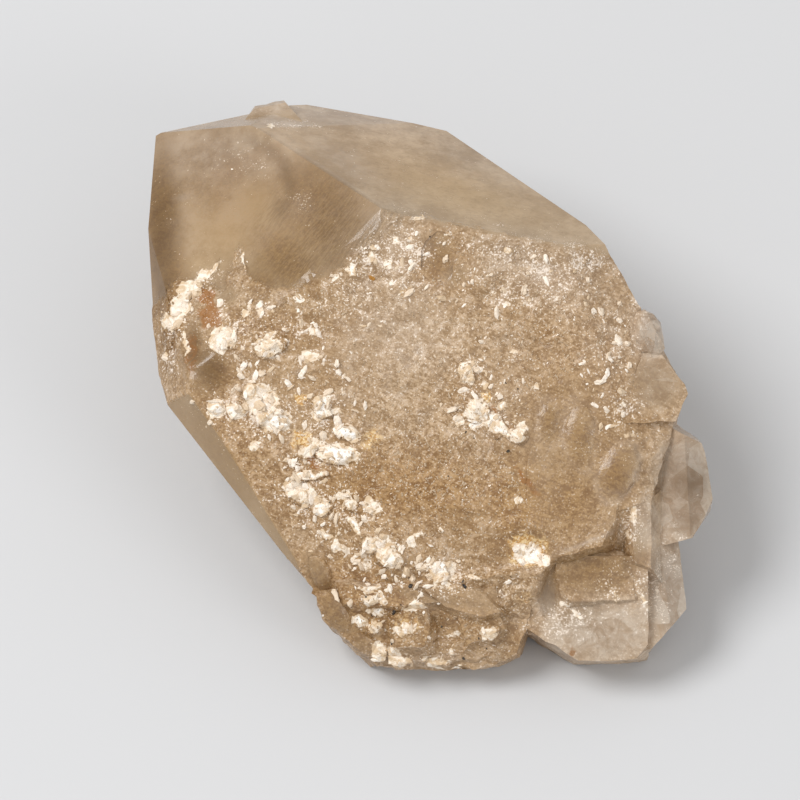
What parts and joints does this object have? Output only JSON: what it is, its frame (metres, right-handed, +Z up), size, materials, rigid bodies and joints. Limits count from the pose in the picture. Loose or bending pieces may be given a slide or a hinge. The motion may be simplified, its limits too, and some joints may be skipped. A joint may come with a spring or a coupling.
{
  "type": "citrine crystal",
  "caption": "Blocky smoky citrine quartz crystal with smooth end facets, a rough front, small crystals grown onto one side and white mineral lumps.",
  "frame": {"origin": "centre of the bounding box at the resting surface", "axes": "+Z up from the flat broken root it rests on; the rough front face looks up and towards -Y; the grown-on small crystals are on the +X side and the end of the crystal points towards -X and +Y"},
  "size_m": [0.0994, 0.1008, 0.0529],
  "materials": {
    "smoky_citrine": "cloudy see-through quartz, glossy on the end facets and frosted on the front"
  },
  "bodies": {
    "root": {"citrine_crystal": "smoky_citrine"}
  },
  "joints": []
}
